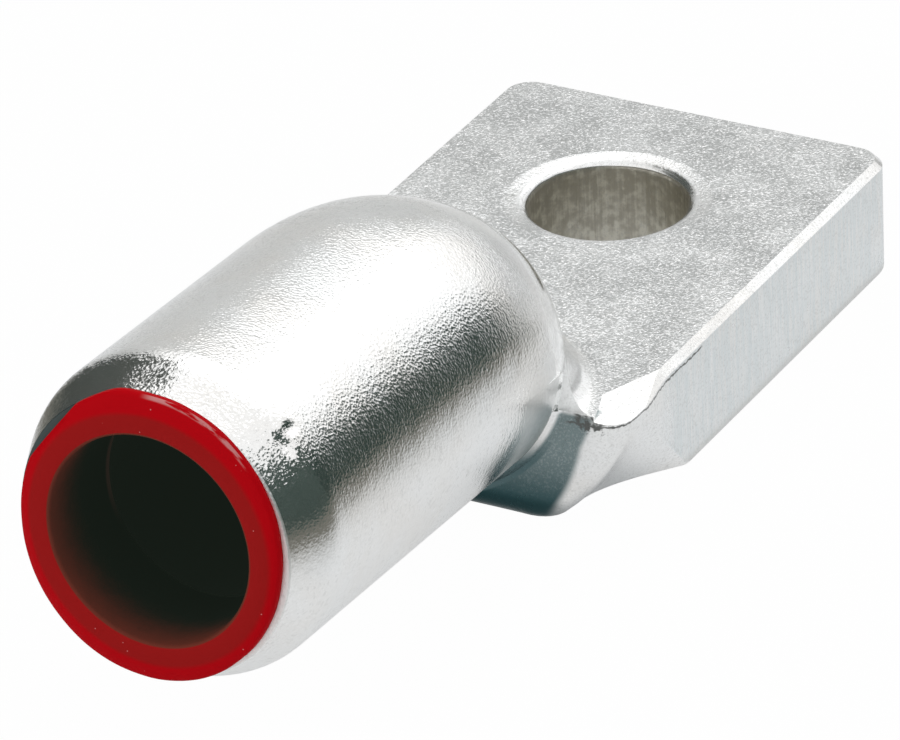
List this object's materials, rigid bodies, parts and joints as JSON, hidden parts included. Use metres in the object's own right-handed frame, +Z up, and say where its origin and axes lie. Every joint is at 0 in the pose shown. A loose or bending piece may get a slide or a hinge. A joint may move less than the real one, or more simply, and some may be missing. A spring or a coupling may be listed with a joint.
{
  "type": "cable lug",
  "caption": "Forged aluminium compression cable lug: round barrel with a blind conductor bore and red mouth collar, domed neck and thick flat palm with a bolt hole.",
  "frame": {"origin": "on the bolt hole's axis at the palm's underside", "axes": "+Z up through the palm along the bolt hole, +X along the lug from the barrel to the palm's free end"},
  "size_m": [0.0903, 0.0358, 0.0295],
  "materials": {
    "tinned_aluminium": "tin-plated forging, satin with a fine grain",
    "red_plastic": "moulded, semi-gloss"
  },
  "bodies": {
    "root": {"lug_body": "tinned_aluminium", "mouth_collar": "red_plastic"}
  },
  "joints": []
}
